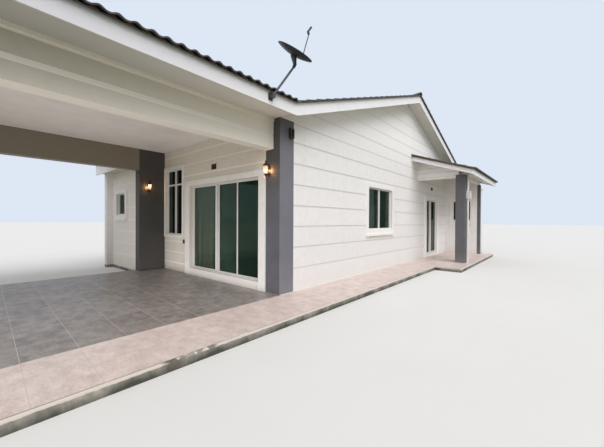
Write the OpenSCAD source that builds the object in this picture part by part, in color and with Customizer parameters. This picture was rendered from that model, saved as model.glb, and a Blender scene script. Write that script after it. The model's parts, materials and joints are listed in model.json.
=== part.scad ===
/* [Floor] */
// Height of the ground slab and of the floor on it above the ground
floor_h = 100; // [60:10:250]
// Width of the open apron beside the house
apron_w = 1100; // [600:50:1600]
// How far in front of the wing the apron meets the wider slab of the side porch
side_slab_run = 5200; // [4600:50:5800]

/* [Walls] */
// Width of the house from the side wall to the party wall
house_w = 7100; // [6600:50:9000]
// Depth of the house from the front wall to the back wall
house_d = 12060; // [11800:20:13000]
// Height of the ceiling and of the level soffits above the floor
ceiling_h = 3380; // [3250:10:3600]
// Thickness of the walls
wall_t = 200; // [180:5:260]
// Height of the level grooves scored in the render
groove_h = 40; // [20:2:60]
// Depth of the grooves
groove_d = 8; // [4:1:15]
// How far the party wall stands out past the left block
fin_out = 180; // [80:10:300]
// How far the left block stands in front of the front wall
block_out = 700; // [500:50:1000]

/* [Porch] */
// Depth of the porch from the front wall to the face of its front columns
porch_d = 6000; // [4500:100:7000]
// Width of the corner column and of the front column on its line
column_w = 388; // [300:4:400]
// Width of the pier and of the front column on its line
pier_w = 272; // [220:4:400]
// Distance from the corner to the open face of the pier
pier_x = 4778; // [4600:2:5000]
// Depth of the columns along the house
column_d = 390; // [300:10:500]
// Width of the porch beams
beam_w = 240; // [150:10:300]
// Height of the underside of the porch beams above the floor
beam_z = 2800; // [2600:20:3000]
// Distance from the corner to the outer face of the near beam
beam_x = 174; // [100:2:190]
// How far the moulding at the top of the beams stands out
lip_out = 20; // [8:1:40]
// Height of that moulding
lip_h = 50; // [20:2:80]

/* [Roofs] */
// Pitch of all the tiled slopes in degrees
roof_pitch = 18.8; // [16:0.2:21]
// Overhang of the eaves and verges beyond the walls
eave_out = 420; // [300:10:600]
// Height of the fascia and barge boards
fascia_h = 224; // [160:4:260]
// Thickness of the fascia and barge boards
fascia_t = 25; // [15:1:40]
// How far the fascia hangs below the soffit
fascia_drop = 66; // [30:2:90]
// Thickness of the soffit and ceiling boards
soffit_t = 20; // [10:1:30]
// Thickness of the tiled covering, measured upright
tile_t = 55; // [35:5:80]
// How far the tiles reach beyond the boards
tile_out = 50; // [20:5:80]
// Where the barge board leaves the porch eave, behind the front wall's face
rake_start = 20; // [0:5:60]
// Radius of the ridge caps
cap_r = 110; // [80:5:140]
// Height of the deeper board at the low eave of the left block
low_board_h = 334; // [224:10:400]

/* [Side porch and wing] */
// Reach of the side porch roof from the wall to its fascia
side_roof_w = 1950; // [1800:10:2300]
// Height of the top of its board where it meets the wall, above the floor
side_roof_z = 3770; // [3600:10:3800]
// Height of the boards of the side porch
side_board_h = 170; // [150:5:230]
// How far the side porch roof runs out in front of the wing
side_roof_run = 4250; // [4000:10:4600]
// How far the front face of its beam and column stands in front of the wing
side_beam_run = 3690; // [3400:10:3900]
// Thickness of the side porch beam
side_beam_t = 200; // [120:10:260]
// Height of the underside of the side porch beam above the floor
side_beam_z = 2940; // [2700:10:2980]
// Width of the side porch's eave beam, which runs back to the wing
eave_beam_w = 100; // [80:5:200]
// Height of the underside of that eave beam
eave_beam_z = 3030; // [2990:5:3060]
// Distance from the fascia back to the outer face of the side porch column
side_column_in = 340; // [250:10:420]
// Width of the side porch column
side_column_w = 300; // [200:10:400]
// Depth of the side porch column
side_column_d = 460; // [300:10:600]
// Width of the slab under the side porch
side_slab_w = 1850; // [1700:10:2000]
// How far that slab runs on behind the wing's front
side_slab_back = 450; // [220:10:900]
// Width of the wing at the back of the side wall
wing_w = 1300; // [1150:10:1400]
// Depth of the wing, back from its front face
wing_d = 1110; // [900:10:1600]
// Height of the underside of the wing's flat roof above the floor
wing_h = 2900; // [2600:10:2950]
// Thickness of the wing's flat roof
wing_roof_t = 100; // [60:10:150]
// Width of the grey corner column of the wing
wing_column_w = 110; // [80:5:200]
// Diameter of the downpipe
pipe_d = 70; // [60:2:110]

/* [Doors and windows] */
// Head height of both doorways above the floor
door_h = 2310; // [2100:10:2500]
// Left edge of the front doorway, from the corner
door_left = 3315; // [3200:5:3500]
// Right edge of the front doorway, from the corner
door_right = 580; // [500:5:800]
// Height of the kerb under the front door leaves
door_kerb = 170; // [60:5:200]
// How far the front door's frame stands back from the wall's face
door_recess = 70; // [30:5:95]
// Distance from the wing's front to the side doorway
side_door_in = 1350; // [1200:10:1700]
// Width of the side doorway
side_door_w = 1340; // [1200:10:1600]
// Height of the kerb in the side doorway
side_kerb = 120; // [40:5:150]
// Width of the bars that frame the windows and doorways
frame_w = 22; // [16:1:50]
// Depth of those frames
frame_d = 100; // [95:1:130]
// Height of the track that the leaves run on
track_h = 15; // [8:1:30]
// How far the other frames stand back from the wall's face
recess = 30; // [10:2:60]
// Width of the flat band round the doorways
door_band = 225; // [100:5:260]
// Height of that band over the doorways
band_head = 130; // [80:5:200]
// Width of the flat band round the windows
window_band = 115; // [60:5:150]
// Width of the band round the tall narrow window
slim_band = 75; // [40:5:90]
// Thickness of the flat bands
band_t = 30; // [10:1:40]
// How far the window sills stand out from the wall
sill_out = 60; // [40:5:100]
// Thickness of the window sills
sill_t = 66; // [40:2:90]
// Width of the sash bars round each pane
sash_w = 12; // [8:1:30]
// Depth of the sashes
sash_d = 36; // [24:2:44]
// Thickness of the glass
glass_t = 6; // [4:1:10]
// Thickness of the door leaves
leaf_t = 38; // [30:1:42]
// Width of the stiles of the leaves and of the lights that they meet
leaf_bar = 55; // [40:5:90]
// Height of the leaves' top and bottom rails
leaf_rail = 26; // [18:1:60]
// Width of the other bars round the lights that don't slide
light_bar = 18; // [10:1:40]
// How far a leaf's stile laps the fixed light behind it
leaf_lap = 10; // [0:2:40]
// Gap between a leaf and what it slides past
leaf_gap = 6; // [5:1:8]
// Radius of the rollers under the sliding leaves
roller_r = 12; // [8:1:16]

/* [Dish and lamps] */
// Radius of the dish
dish_r = 330; // [250:10:450]
// Depth of its bowl
dish_deep = 60; // [40:5:90]
// Diameter of the pole that holds it
pole_d = 38; // [25:1:50]
// Width of a lamp's lantern at its top
lamp_w = 100; // [70:2:140]
// Height of its glass
lamp_glass_h = 150; // [100:5:200]

/* [Hidden] */

far = 20000;
seat = 0.3;
slope = tan(roof_pitch);
eave_z = ceiling_h - fascia_drop + fascia_h;
soffit_drop = fascia_h - fascia_drop;

// Main roof, whose ridge runs along X
back_eave = house_d + eave_out;
ridge_y = (back_eave + rake_start) / 2;
ridge_z = eave_z + slope * (ridge_y - rake_start);
block_eave = -block_out - eave_out;
wing_y = house_d - wing_d;
function main_z(y) = ridge_z - slope * abs(y - ridge_y);

// Porch roof, whose ridge runs along Y and meets the main slope in two valleys
pier_left = -pier_x - pier_w;
porch_left = pier_left - eave_out;
porch_ridge_x = (eave_out + porch_left) / 2;
porch_half = eave_out - porch_ridge_x;
porch_ridge_z = eave_z + slope * porch_half;
porch_verge = -porch_d - eave_out;
valley_y = rake_start + porch_half;
function porch_z(x) = porch_ridge_z - slope * abs(x - porch_ridge_x);

// Side porch, a lean-to that falls away from the side wall up to the wing
apron_end = wing_y - side_slab_run;
side_roof_start = wing_y - side_roof_run;
side_roof_end = wing_y + wall_t + fascia_t;
side_beam_y = wing_y - side_beam_run;
side_slab_end = wing_y + side_slab_back;
side_door_near = wing_y - side_door_in - side_door_w;
function side_z(x) = side_roof_z - slope * x;
side_soffit_drop = side_board_h - fascia_drop;
function side_soffit_z(x) = side_z(x) - side_soffit_drop - soffit_t - seat;
side_column_x = side_roof_w - side_column_in - side_column_w;

// Holes in the walls, as corner points [along the wall, height above the floor]
front_door = [[-door_left, 0], [-door_right, door_h]];
side_door = [[side_door_near, 0], [side_door_near + side_door_w, door_h]];
side_window = [[3465, 1175], [4995, 2375]];
narrow_window = [[-4680, 1010], [-3710, 2845]];
block_window = [[580 - house_w, 1570], [1290 - house_w, 2225]];
wing_window = [[310, 1475], [1040, 2360]];
back_windows = [[[-5600, 1175], [-4070, 2375]], [[-2600, 1175], [-1070, 2375]]];
transom_z = 2415;
front_meet = -2211;
front_bar = -1465;

// First groove above the floor and the step between grooves, wall by wall
side_grooves = [430, 420];
gable_grooves = [3660, 360];
front_grooves = [210, 295];
block_grooves = [360, 350];

white = "whitesmoke";
grey = "dimgray";
tile = "saddlebrown";
glass = "darkslategray";

// A box between two corners, with heights from the floor
module block(lo, hi) translate([lo.x, lo.y, lo.z + floor_h]) cube(hi - lo);

// A flat shape [x, height] drawn out along Y, and one [y, height] along X
module along_y(y0, y1) translate([0, y1, floor_h]) rotate([90, 0, 0]) linear_extrude(y1 - y0) children();
module along_x(x0, x1) translate([x0, 0, floor_h]) rotate([90, 0, 90]) linear_extrude(x1 - x0) children();

module area(c) translate(c[0]) square(c[1] - c[0]);
function grown(c, by) = [c[0] - [by, by], c[1] + [by, by]];
function middle(c) = (c[0].x + c[1].x) / 2;

module ring(c, w) difference() { area(c); area(grown(c, -w)); }

// Level grooves to cut from a wall's face, as strips between two ends
module grooves(set, lo, hi) for (z = [set[0]:set[1]:hi.y - groove_h])
    if (z > lo.y) area([[lo.x, z], [hi.x, z + groove_h]]);

module ground_slab() color("darkgray") linear_extrude(floor_h) polygon([
    [-house_w, -block_out - fin_out], [-house_w + wall_t, -block_out - fin_out],
    [-house_w + wall_t, -block_out], [pier_left, -block_out],
    [pier_left, -porch_d], [apron_w, -porch_d], [apron_w, apron_end],
    [side_slab_w, apron_end], [side_slab_w, side_slab_end], [wing_w, side_slab_end],
    [wing_w, house_d], [-house_w, house_d]]);

// Walls that face the porch, scored with the front's grooves
module front_wall(c) difference() {
    along_y(0, wall_t) difference() { area(c); children(); }
    along_y(-1, groove_d) grooves(front_grooves, c[0] - [1, 0], c[1] + [1, 0]);
}
module front_wall_left() color(white)
    front_wall([[pier_left, 0], [-door_left, ceiling_h]]) area(narrow_window);
module front_wall_lintel() color(white)
    front_wall([[-door_left, door_h], [-door_right, ceiling_h]]);
module front_wall_right() color(white)
    front_wall([[-door_right, 0], [-column_w, ceiling_h]]);

module corner_column() color(grey)
    block([-column_w, 0, 0], [0, column_d, ceiling_h]);

module porch_pier() color(grey)
    block([pier_left, -block_out, 0], [-pier_x, 0, ceiling_h]);

// Walls along the garden side, scored with wider grooves
module side_wall(set, end, top) difference() {
    along_x(-wall_t, 0) children();
    along_x(-groove_d, 1) grooves(set, [column_d - 1, 0], [end, top]);
}
module side_wall_front() color(white) side_wall(side_grooves, far, ceiling_h) difference() {
    area([[column_d, 0], [side_door_near, ceiling_h]]);
    area(side_window);
}
module side_wall_lintel() color(white) side_wall(side_grooves, far, ceiling_h)
    area([[side_door_near, door_h], [side_door_near + side_door_w, ceiling_h]]);

// Behind the wing's front the wall is open, so that the wing is part of the house
module side_wall_back() color(white) side_wall(side_grooves, wing_y, ceiling_h) difference() {
    area([[side_door_near + side_door_w, 0], [house_d, ceiling_h]]);
    area([[wing_y + wall_t, -1], [house_d - wall_t, wing_h]]);
}
module side_gable_wall() color(white) side_wall(gable_grooves, far, ridge_z) polygon([
    [0, ceiling_h], [house_d, ceiling_h], [house_d, main_z(house_d) - seat],
    [ridge_y, ridge_z - seat], [0, main_z(0) - seat]]);

// The party wall ends the row; its fin in front carries the low eave
module party_wall() color(white) along_x(-house_w, -house_w + wall_t) polygon([
    [-block_out - fin_out, 0], [house_d, 0], [house_d, main_z(house_d) - seat],
    [ridge_y, ridge_z - seat], [-block_out, main_z(-block_out) - seat],
    [-block_out, low_soffit_z], [-block_out - fin_out, low_soffit_z]]);

module back_wall() color(white) difference() {
    along_y(house_d - wall_t, house_d) difference() {
        area([[-house_w + wall_t, 0], [-wall_t, ceiling_h]]);
        for (w = back_windows) area(w);
    }
    along_y(house_d - groove_d, house_d + 1) grooves(front_grooves, [-far, 0], [0, ceiling_h]);
}

module left_block_wall() color(white) difference() {
    along_x(-house_w + wall_t, pier_left) polygon([
        [-block_out, 0], [wall_t - block_out, 0],
        [wall_t - block_out, main_z(wall_t - block_out) - seat],
        [-block_out, main_z(-block_out) - seat]]);
    along_y(-block_out - 1, wall_t - block_out + 1) area(block_window);
    along_y(-block_out - 1, groove_d - block_out)
        grooves(block_grooves, [-far, 0], [pier_left + 1, low_soffit_z]);
    porch_space();
}

module house_ceiling() color(white)
    block([-house_w + wall_t, 0, ceiling_h], [-wall_t, house_d, ceiling_h + soffit_t]);

// Section of a porch beam from its outer face in: a scored groove under a standing lip
module beam_section() {
    h = ceiling_h - beam_z;
    polygon([[-beam_w, beam_z], [0, beam_z], [0, beam_z + h * 0.4], [-groove_d, beam_z + h * 0.4],
        [-groove_d, beam_z + h * 0.4 + groove_h], [0, beam_z + h * 0.4 + groove_h],
        [0, ceiling_h - lip_h], [lip_out, ceiling_h - lip_h], [lip_out, ceiling_h],
        [-beam_w, ceiling_h]]);
}

// The side beams run back to the column and the pier, the front one spans the entrance
module porch_beams() color(white) {
    along_y(column_d - porch_d, 0) translate([-beam_x, 0]) beam_section();
    along_y(column_d - porch_d, -block_out)
        translate([-pier_x - beam_w, 0]) mirror([1, 0]) beam_section();
    along_x(-pier_x, -column_w)
        translate([(column_d - beam_w) / 2 - porch_d, 0]) mirror([1, 0]) beam_section();
}

module porch_front_columns() color(grey) {
    block([-column_w, -porch_d, 0], [0, column_d - porch_d, ceiling_h]);
    block([pier_left, -porch_d, 0], [-pier_x, column_d - porch_d, ceiling_h]);
}

module porch_ceiling() color(white) {
    inner = eave_out - fascia_t;
    block([porch_left + fascia_t, -porch_d, ceiling_h], [inner, 0, ceiling_h + soffit_t]);
    block([0, 0, ceiling_h], [inner, rake_start, ceiling_h + soffit_t]);
}

module porch_gable_wall() color(white) along_y(-porch_d, wall_t - porch_d) polygon([
    [pier_left, ceiling_h + soffit_t], [0, ceiling_h + soffit_t], [0, porch_z(0) - seat],
    [porch_ridge_x, porch_ridge_z - seat], [pier_left, porch_z(pier_left) - seat]]);

// What lies under the porch roof in plan, forward of the two valleys
module porch_plan(left) polygon([
    [left, porch_verge - tile_out], [eave_out + tile_out, porch_verge - tile_out],
    [eave_out + tile_out, rake_start - tile_out], [porch_ridge_x, valley_y],
    [left, rake_start + left - porch_left]]);

// The room that the porch roof and its boards take out of the main slope
module porch_space() {
    translate([0, 0, floor_h + eave_z - fascia_h]) linear_extrude(far) porch_plan(porch_left);
    block([pier_left, -far, 0], [far, rake_start - tile_out, far]);
}

// A covering of one thickness over a line of points [along, height]
module cover(points, t) polygon(concat(points, [for (i = [len(points) - 1:-1:0]) points[i] + [0, t]]));

main_line = [[block_eave - tile_out, main_z(block_eave - tile_out)], [ridge_y, ridge_z],
    [back_eave + tile_out, main_z(back_eave + tile_out)]];
porch_line = [[porch_left - tile_out, porch_z(porch_left - tile_out)], [porch_ridge_x, porch_ridge_z],
    [eave_out + tile_out, porch_z(eave_out + tile_out)]];

module porch_cover() intersection() {
    along_y(porch_verge - tile_out, valley_y) cover(porch_line, tile_t);
    linear_extrude(far) porch_plan(porch_left - tile_out);
}

module main_roof() color(tile) difference() {
    along_x(-house_w, eave_out + tile_out) cover(main_line, tile_t);
    porch_space();
    porch_cover();
}

module porch_roof() color(tile) porch_cover();

// Half-round caps, hollowed to sit on the two slopes
module ridge_caps() color(tile) {
    difference() {
        translate([-house_w, ridge_y, floor_h + ridge_z + tile_t - cap_r * 0.4])
            rotate([0, 90, 0]) cylinder(r = cap_r, h = house_w + eave_out + tile_out, $fn = 32);
        along_x(-house_w - 1, eave_out + tile_out + 1) polygon([
            main_line[0] + [0, tile_t], main_line[1] + [0, tile_t], main_line[2] + [0, tile_t],
            [back_eave, 0], [block_eave, 0]]);
    }
    difference() {
        translate([porch_ridge_x, valley_y, floor_h + porch_ridge_z + tile_t - cap_r * 0.4])
            rotate([90, 0, 0]) cylinder(r = cap_r, h = valley_y - porch_verge + tile_out, $fn = 32);
        along_y(porch_verge - tile_out - 1, valley_y + 1) polygon([
            porch_line[0] + [0, tile_t], porch_line[1] + [0, tile_t], porch_line[2] + [0, tile_t],
            [eave_out, 0], [porch_left, 0]]);
        along_x(-house_w, eave_out) polygon([
            main_line[0] + [0, tile_t], main_line[1] + [0, tile_t], main_line[2] + [0, tile_t],
            [back_eave, 0], [block_eave, 0]]);
    }
}

// A level eave board in section, with its top cut to the slope, and a board along a slope
module eave_section(edge, inward) polygon([
    [edge, eave_z - fascia_h], [edge, eave_z - seat],
    [edge + inward * fascia_t, eave_z + slope * fascia_t - seat],
    [edge + inward * fascia_t, eave_z - fascia_h]]);
function lowered(points, by) = [for (p = points) p - [0, by]];

// Barge boards and soffits are cut square at the ridge, and each board stands a joint's width clear
module main_eave_boards() color(white) {
    inner = eave_out - fascia_t - seat;
    front = [[rake_start, eave_z], [ridge_y - seat, main_z(ridge_y - seat)]];
    back = [[ridge_y, ridge_z], [back_eave, eave_z]];
    back_soffit = [[ridge_y, ridge_z], [house_d - seat, main_z(house_d - seat)]];
    for (run = [front, back])
        along_x(eave_out - fascia_t, eave_out) cover(lowered(run, fascia_h + seat), fascia_h);
    for (run = [front, back_soffit]) along_x(0, inner) cover(lowered(run, soffit_drop), soffit_t);
    along_x(-house_w, inner) eave_section(back_eave, -1);
    block([-house_w, house_d, ceiling_h], [inner, back_eave - fascia_t - seat, ceiling_h + soffit_t]);
}

module porch_eave_boards() color(white) {
    along_y(porch_verge + fascia_t, rake_start) eave_section(eave_out, -1);
    along_y(porch_verge + fascia_t, 0) eave_section(porch_left, 1);
    rake = [[porch_left, eave_z], [porch_ridge_x, porch_ridge_z], [eave_out, eave_z]];
    soffit = [[porch_left + fascia_t, porch_z(porch_left + fascia_t)], [porch_ridge_x, porch_ridge_z],
        [eave_out - fascia_t, porch_z(eave_out - fascia_t)]];
    along_y(porch_verge, porch_verge + fascia_t) cover(lowered(rake, fascia_h + seat), fascia_h);
    along_y(porch_verge + fascia_t, -porch_d) cover(lowered(soffit, soffit_drop), soffit_t);
}

// The low eave of the left block, where the main slope runs on down behind a deeper board
low_eave_z = main_z(block_eave);
low_soffit_z = low_eave_z - low_board_h + fascia_drop;
module block_eave_boards() color(white) {
    along_x(-house_w, pier_left) polygon([
        [block_eave, low_eave_z - low_board_h], [block_eave, low_eave_z - seat],
        [block_eave + fascia_t, low_eave_z + slope * fascia_t - seat],
        [block_eave + fascia_t, low_eave_z - low_board_h]]);
    block([-house_w, block_eave + fascia_t, low_soffit_z],
        [pier_left, -block_out, low_soffit_z + soffit_t]);
}

module side_porch_roof() color(tile) along_y(side_roof_start - tile_out, side_roof_end)
    cover([[0, side_z(0)], [side_roof_w + tile_out, side_z(side_roof_w + tile_out)]], tile_t);

module side_porch_boards() color(white) {
    low = side_z(side_roof_w);
    board = [[0, side_z(0) - side_board_h - seat], [side_roof_w, low - side_board_h - seat]];
    inner = side_roof_w - fascia_t;
    soffit = [[0, side_soffit_z(0) + seat], [inner, side_soffit_z(inner) + seat]];
    along_y(side_roof_start, side_roof_start + fascia_t) cover(board, side_board_h);
    along_y(side_roof_end - fascia_t, side_roof_end) cover(board, side_board_h);
    along_y(side_roof_start + fascia_t, side_roof_end - fascia_t) {
        polygon([[side_roof_w, low - side_board_h], [side_roof_w, low - seat],
            [inner, side_z(inner) - seat], [inner, low - side_board_h]]);
        cover(soffit, soffit_t);
    }
}

// A level-bottomed beam from the wall to the column, and an eave beam back over the wing's column
module side_porch_beams() color(white) {
    along_y(side_beam_y, side_beam_y + side_beam_t) polygon([
        [0, side_beam_z], [side_column_x, side_beam_z],
        [side_column_x, side_soffit_z(side_column_x)], [0, side_soffit_z(0)]]);
    outer = side_column_x + eave_beam_w;
    along_y(side_beam_y, wing_y) polygon([
        [side_column_x, eave_beam_z], [outer, eave_beam_z],
        [outer, side_soffit_z(outer)], [side_column_x, side_soffit_z(side_column_x)]]);
}

module side_porch_column() color(grey)
    block([side_column_x, side_beam_y, 0],
        [side_column_x + side_column_w, side_beam_y + side_column_d, eave_beam_z]);

module wing_corner_column() color(grey)
    block([wing_w, wing_y, 0], [wing_w + wing_column_w, wing_y + wall_t, eave_beam_z]);

module wing_front_wall() color(white) along_y(wing_y, wing_y + wall_t) difference() {
    polygon([[0, 0], [wing_w, 0], [wing_w, side_soffit_z(wing_w)], [0, side_soffit_z(0)]]);
    area(wing_window);
}

module wing_rear_walls() color(white) {
    block([wing_w - wall_t, wing_y + wall_t, 0], [wing_w, house_d, wing_h]);
    block([0, house_d - wall_t, 0], [wing_w, house_d, wing_h]);
}

module wing_roof() color(white)
    block([0, wing_y + wall_t, wing_h], [wing_w + tile_out, house_d + tile_out, wing_h + wing_roof_t]);

// The lines of a window's frame, its outer bars and those between, and the bays they leave
function lines(c, axis, bars) = concat([c[0][axis] + frame_w / 2], bars, [c[1][axis] - frame_w / 2]);
function bays(c, xs, zs) = let (x = lines(c, 0, xs), z = lines(c, 1, zs), w = frame_w / 2)
    [for (i = [0:len(x) - 2], j = [0:len(z) - 2]) [[x[i] + w, z[j] + w], [x[i + 1] - w, z[j + 1] - w]]];

// One part of a window in elevation: its frame, its sashes, its panes or the band round it
module window_part(part, c, xs = [], zs = [], band = window_band) {
    if (part == "frame") difference() { area(c); for (b = bays(c, xs, zs)) area(b); }
    if (part == "sash") for (b = bays(c, xs, zs)) ring(b, sash_w);
    if (part == "pane") for (b = bays(c, xs, zs)) area(grown(b, -sash_w));
    if (part == "band") difference() { area(grown(c, band)); area(c); }
    if (part == "sill" && band == window_band)
        area([c[0] - [band, band + sill_t], [c[1].x + band, c[0].y - band]]);
}

// The same part of every window, between two depths behind the wall's face
module every_window(part, d0, d1) {
    along_x(-d1, -d0) window_part(part, side_window, [middle(side_window)]);
    along_y(d0, d1) window_part(part, narrow_window, [middle(narrow_window)], [transom_z], slim_band);
    along_y(d0 - block_out, d1 - block_out) window_part(part, block_window);
    along_y(wing_y + d0, wing_y + d1) window_part(part, wing_window);
    for (w = back_windows) along_y(house_d - d1, house_d - d0) window_part(part, w, [middle(w)]);
}

module window_frames() color(white) {
    every_window("frame", recess, recess + frame_d);
    every_window("sash", sash_face, sash_face + sash_d);
}
sash_face = recess + (frame_d - sash_d) / 2;

// Flat bands of render round every hole, with sills under the windows
module opening_bands() color(white) {
    every_window("band", -band_t, 0);
    every_window("sill", -sill_out, 0);
    along_y(-band_t, 0) intersection() {
        door_band_shape(front_door);
        area([[-far, 0], [-column_w, ceiling_h]]);
    }
    along_x(0, band_t) door_band_shape(side_door);
}
module door_band_shape(c) difference() {
    area([c[0] - [door_band, 0], c[1] + [door_band, band_head]]);
    area([c[0] - [0, 1], c[1]]);
}

module door_kerbs() color("silver") {
    along_y(-band_t, door_recess + frame_d) area([front_door[0], [-door_right, door_kerb]]);
    along_x(-recess - frame_d, band_t) area([side_door[0], [side_door[1].x, side_kerb]]);
}

// A doorway's frame on its kerb: track, jambs and head
module door_frame_shape(c, kerb) difference() {
    area([c[0] + [0, kerb], c[1]]);
    area([c[0] + [frame_w, kerb + track_h], c[1] - [frame_w, frame_w]]);
}
module door_frames() color(white) {
    along_y(door_recess, door_recess + frame_d) door_frame_shape(front_door, door_kerb);
    along_x(-recess - frame_d, -recess) door_frame_shape(side_door, side_kerb);
}

// The sliding leaf of each door runs in front of the fixed lights
front_face = door_recess + leaf_gap;
side_face = recess + leaf_gap;
behind = leaf_t + leaf_gap;
side_middle = side_door_near + side_door_w / 2;

// It stands on rollers, clear of the track and the head
function leaf_low(kerb) = kerb + track_h + roller_r + seat;
leaf_high = door_h - frame_w - leaf_gap;
front_leaf = [[-door_left + frame_w + leaf_gap, leaf_low(door_kerb)],
    [front_meet + leaf_lap / 2, leaf_high]];
side_leaf = [[side_middle - leaf_lap / 2, leaf_low(side_kerb)],
    [side_door[1].x - frame_w - leaf_gap, leaf_high]];
front_lights = [[[front_meet - leaf_lap / 2, door_kerb + track_h], [front_bar, door_h - frame_w]],
    [[front_bar, door_kerb + track_h], [-door_right - frame_w, door_h - frame_w]]];
side_light = [[side_door_near + frame_w, side_kerb + track_h],
    [side_middle + leaf_lap / 2, door_h - frame_w]];

// What glass shows inside bars of these widths at the left, the right, and above and below
function pane(c, left, right, rail) = [c[0] + [left, rail], c[1] - [right, rail]];
front_panes = [pane(front_lights[0], leaf_bar, light_bar, light_bar),
    pane(front_lights[1], light_bar, light_bar, light_bar)];
side_pane = pane(side_light, light_bar, leaf_bar, light_bar);
front_leaf_pane = pane(front_leaf, leaf_bar, leaf_bar, leaf_rail);
side_leaf_pane = pane(side_leaf, leaf_bar, leaf_bar, leaf_rail);
module bars(c, shown) difference() { area(c); area(shown); }

module rollers(c) for (x = [c[0].x + leaf_bar * 2, c[1].x - leaf_bar * 2])
    translate([x, c[0].y]) circle(r = roller_r, $fn = 24);

module fixed_lights() color(white) {
    along_y(front_face + behind, front_face + behind + leaf_t)
        for (i = [0, 1]) bars(front_lights[i], front_panes[i]);
    along_x(-side_face - behind - leaf_t, -side_face - behind) bars(side_light, side_pane);
}

module front_leaf_frame() color(white) {
    along_y(front_face, front_face + leaf_t) bars(front_leaf, front_leaf_pane);
    along_y(front_face + leaf_t / 4, front_face + leaf_t * 3 / 4) rollers(front_leaf);
}
module front_leaf_glass() color(glass)
    along_y(front_face + pane_in, front_face + pane_in + glass_t) area(front_leaf_pane);

module side_leaf_frame() color(white) {
    along_x(-side_face - leaf_t, -side_face) bars(side_leaf, side_leaf_pane);
    along_x(-side_face - leaf_t * 3 / 4, -side_face - leaf_t / 4) rollers(side_leaf);
}
module side_leaf_glass() color(glass)
    along_x(-side_face - pane_in - glass_t, -side_face - pane_in) area(side_leaf_pane);

// Glass of the windows and of the lights that don't slide
pane_in = (leaf_t - glass_t) / 2;
module fixed_glass() color(glass) {
    window_pane_in = recess + (frame_d - glass_t) / 2;
    fixed_pane_in = behind + pane_in;
    every_window("pane", window_pane_in, window_pane_in + glass_t);
    along_y(front_face + fixed_pane_in, front_face + fixed_pane_in + glass_t)
        for (c = front_panes) area(c);
    along_x(-side_face - fixed_pane_in - glass_t, -side_face - fixed_pane_in) area(side_pane);
}

module rod(a, b, d, d2 = 0) {
    v = b - a;
    translate(a) rotate([0, acos(v.z / norm(v)), atan2(v.y, v.x)])
        cylinder(d1 = d, d2 = d2 > 0 ? d2 : d, h = norm(v), $fn = 24);
}

// Six-sided coach lanterns on brackets, one on the corner column and one on the pier
module each_lamp() {
    translate([lamp_at[0].x, 0, floor_h + lamp_at[0].y]) children();
    translate([-pier_x, lamp_at[1].x, floor_h + lamp_at[1].y]) rotate([0, 0, 90]) children();
}
lamp_at = [[-294, 2400], [-460, 2335]];
lamp_out = 95;
lamp_foot_w = lamp_w * 0.62;
lamp_bar = 7;
module wall_lamps() color("black") each_lamp() lantern();
module lantern() {
    top = lamp_glass_h / 2;
    difference() {
        translate([0, 0, -10]) cube([80, 24, 190], center = true);
        translate([-50, 0, -150]) cube([100, 20, 300]);
    }
    rod([0, -6, -70], [0, -lamp_out, -top - 18], 14);
    rod([0, -6, -20], [0, -50, -top + 10], 10);
    translate([0, -lamp_out, 0]) {
        translate([0, 0, -top - 34]) cylinder(d1 = 16, d2 = lamp_foot_w + 14, h = 34, $fn = 6);
        translate([0, 0, top]) cylinder(d = lamp_w + 24, h = 8, $fn = 6);
        translate([0, 0, top + 8]) cylinder(d1 = lamp_w + 24, d2 = 26, h = 48, $fn = 6);
        translate([0, 0, top + 56]) cylinder(d1 = 12, d2 = 20, h = 26, $fn = 6);
        for (a = [0:60:300]) rotate([0, 0, a])
            rod([lamp_foot_w / 2 + lamp_bar / 2 + seat, 0, -top - 2],
                [lamp_w / 2 + lamp_bar / 2 + seat, 0, top + 2], lamp_bar);
    }
}
module lamp_glass() color("gold") each_lamp()
    translate([0, -lamp_out, -lamp_glass_h / 2])
    cylinder(d1 = lamp_foot_w, d2 = lamp_w, h = lamp_glass_h, $fn = 6);

// A tilted dish on a leaning pole, which a bracket holds to the eave board
dish_tilt = [0, 32.8, 8.4];
dish_hub = [475, -129, 4340];
pole_foot = [500, -647, 3452];
pole_head = [500, -136, 4129];
dish_back = dish_hub - [14, 3, 22];
feed_foot = [274, -78, -140];
feed_head = [225, 125, 307];
dish_clamp = 110;
module satellite_dish() color("dimgray") translate([0, 0, floor_h]) {
    translate([eave_out, pole_foot.y - 45, pole_foot.z - 72]) cube([12, 90, 114]);
    translate([eave_out + 12, pole_foot.y - 33, pole_foot.z - 42])
        cube([pole_foot.x - eave_out, 66, 84]);
    rod(pole_foot, pole_head, pole_d);
    rod(pole_head - [0, 30, 40], pole_head + [0, 6, 30], pole_d + 18);
    rod(pole_head, dish_back, pole_d + 16, dish_clamp);
    translate(dish_hub) rotate(dish_tilt) bowl();
    feed = dish_hub + feed_head;
    rod(dish_hub + feed_foot, feed, 18);
    rod(feed, feed + [0, -25, 45], 42);
    rod(feed + [0, -25, 36], feed + [50, 11, 114], 34);
}
// A shell of one thickness on the curve of a shallow bowl
module bowl() {
    bowl_t = 8;
    steps = 8;
    curve = [for (i = [0:steps]) [dish_r * i / steps, dish_deep * pow(i / steps, 2) - dish_deep / 2]];
    rotate_extrude($fn = 64) cover(curve, bowl_t);
}

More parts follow.
